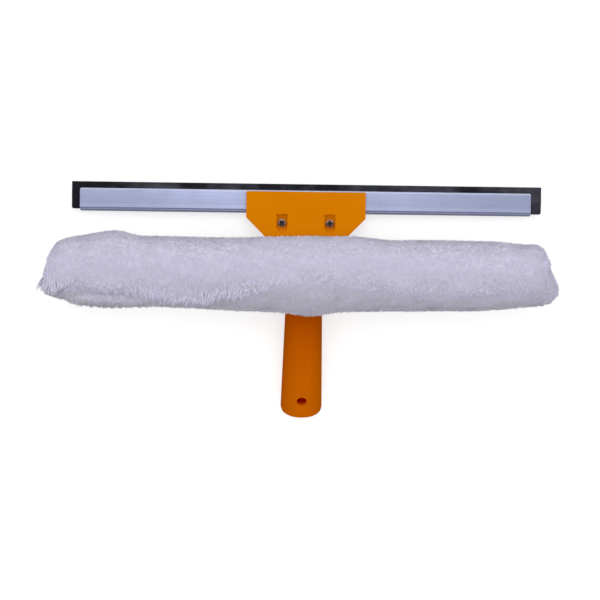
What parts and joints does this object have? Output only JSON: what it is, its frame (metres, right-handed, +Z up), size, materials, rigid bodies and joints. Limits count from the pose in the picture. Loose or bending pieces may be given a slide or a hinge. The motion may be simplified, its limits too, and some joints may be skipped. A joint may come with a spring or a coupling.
{
  "type": "window squeegee washer",
  "caption": "Hand-held window squeegee with a rubber blade in an aluminium channel, an orange clamp handle with a pole socket, and a fleece washer sleeve across the neck",
  "frame": {"origin": "middle of the footprint, on the surface that the tool lies on", "axes": "+X along the blade, +Y from the end of the handle to the rubber's edge, +Z up, towards the face of the head with the screws"},
  "size_m": [0.3754, 0.188, 0.0815],
  "materials": {
    "orange_plastic": "satin",
    "steel": "bright",
    "aluminium": "satin, worn",
    "black_rubber": "matt, worn",
    "white_plastic": "matt",
    "fleece": "deep pile",
    "tape": "woven"
  },
  "bodies": {
    "handle_body": {"handle": "orange_plastic", "washer_bar": "white_plastic", "bar_screw_left": "steel", "bar_screw_right": "steel"},
    "rear_jaw": {"rear_jaw": "orange_plastic", "clamp_nut_left": "steel", "clamp_nut_right": "steel"},
    "clamp_screw_left": {"clamp_screw_left": "steel"},
    "clamp_screw_right": {"clamp_screw_right": "steel"},
    "blade": {"blade_channel": "aluminium"},
    "rubber": {"blade_rubber": "black_rubber"},
    "sleeve": {"fleece_sleeve": "fleece", "hook_tape": "tape"},
    "flap": {"closure_flap": "fleece", "loop_tape": "tape"}
  },
  "joints": [
    {"name": "clamp_screw_left_turn", "type": "hinge", "parent": "handle_body", "child": "clamp_screw_left", "pos_m": [-0.01655, 0.06742, 0.01356], "axis": [0, 0.4399, 0.8981], "range_deg": [0, 1261]},
    {"name": "clamp_screw_right_turn", "type": "hinge", "parent": "handle_body", "child": "clamp_screw_right", "pos_m": [0.01905, 0.06742, 0.01356], "axis": [0, 0.4399, 0.8981], "range_deg": [0, 1261]},
    {"name": "rear_jaw_open", "type": "slide", "parent": "handle_body", "child": "rear_jaw", "axis": [0, -0.4399, -0.8981], "range_m": [0, 0.0021]},
    {"name": "blade_slide", "type": "slide", "parent": "handle_body", "child": "blade", "axis": [1, 0, 0], "range_m": [-0.12, 0.12]},
    {"name": "rubber_slide", "type": "slide", "parent": "blade", "child": "rubber", "axis": [1, 0, 0], "range_m": [-0.17, 0.17]},
    {"name": "sleeve_slide", "type": "slide", "parent": "handle_body", "child": "sleeve", "axis": [1, 0, 0], "range_m": [0, 0.075]},
    {"name": "flap_open", "type": "hinge", "parent": "sleeve", "child": "flap", "pos_m": [-0.14775, 0.06543, 0.04462], "axis": [1, 0, 0], "range_deg": [0, 100]}
  ],
  "couplings": [
    {"joint": "clamp_screw_left_turn", "follows": "rear_jaw_open", "rad_per_m": 10472},
    {"joint": "clamp_screw_right_turn", "follows": "rear_jaw_open", "rad_per_m": 10472}
  ]
}
